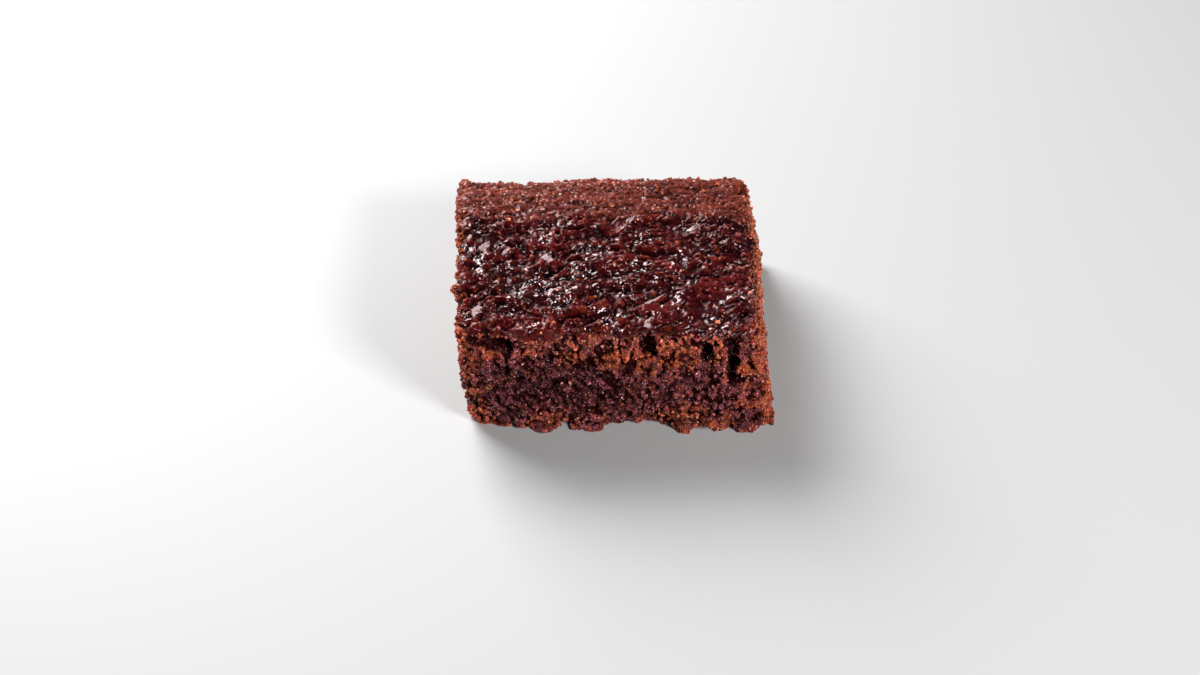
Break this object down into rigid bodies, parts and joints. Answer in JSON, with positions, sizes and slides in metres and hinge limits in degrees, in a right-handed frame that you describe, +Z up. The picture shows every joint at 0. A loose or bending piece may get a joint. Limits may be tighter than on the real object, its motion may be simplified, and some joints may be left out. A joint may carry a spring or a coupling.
{
  "type": "brownie",
  "caption": "Square-cut chocolate brownie: wet wrinkled crust with a drier back band, over torn open crumb on upright cut faces that lean outward a little.",
  "frame": {"origin": "middle of the base of the bounding box, on the surface that the piece lies on", "axes": "+X along the wider side, to the right of the front cut face; +Y to the drier back band; +Z up through the crust"},
  "size_m": [0.0806, 0.0638, 0.0321],
  "materials": {
    "crumb": "dark reddish-brown cake crumb, open and granular on the cut faces, with orange-brown grains along the edges",
    "crust": "wet, sticky burgundy-brown top with wrinkles and blisters, dry and matte along the back edge"
  },
  "bodies": {
    "root": {"brownie": "crumb"}
  },
  "joints": []
}
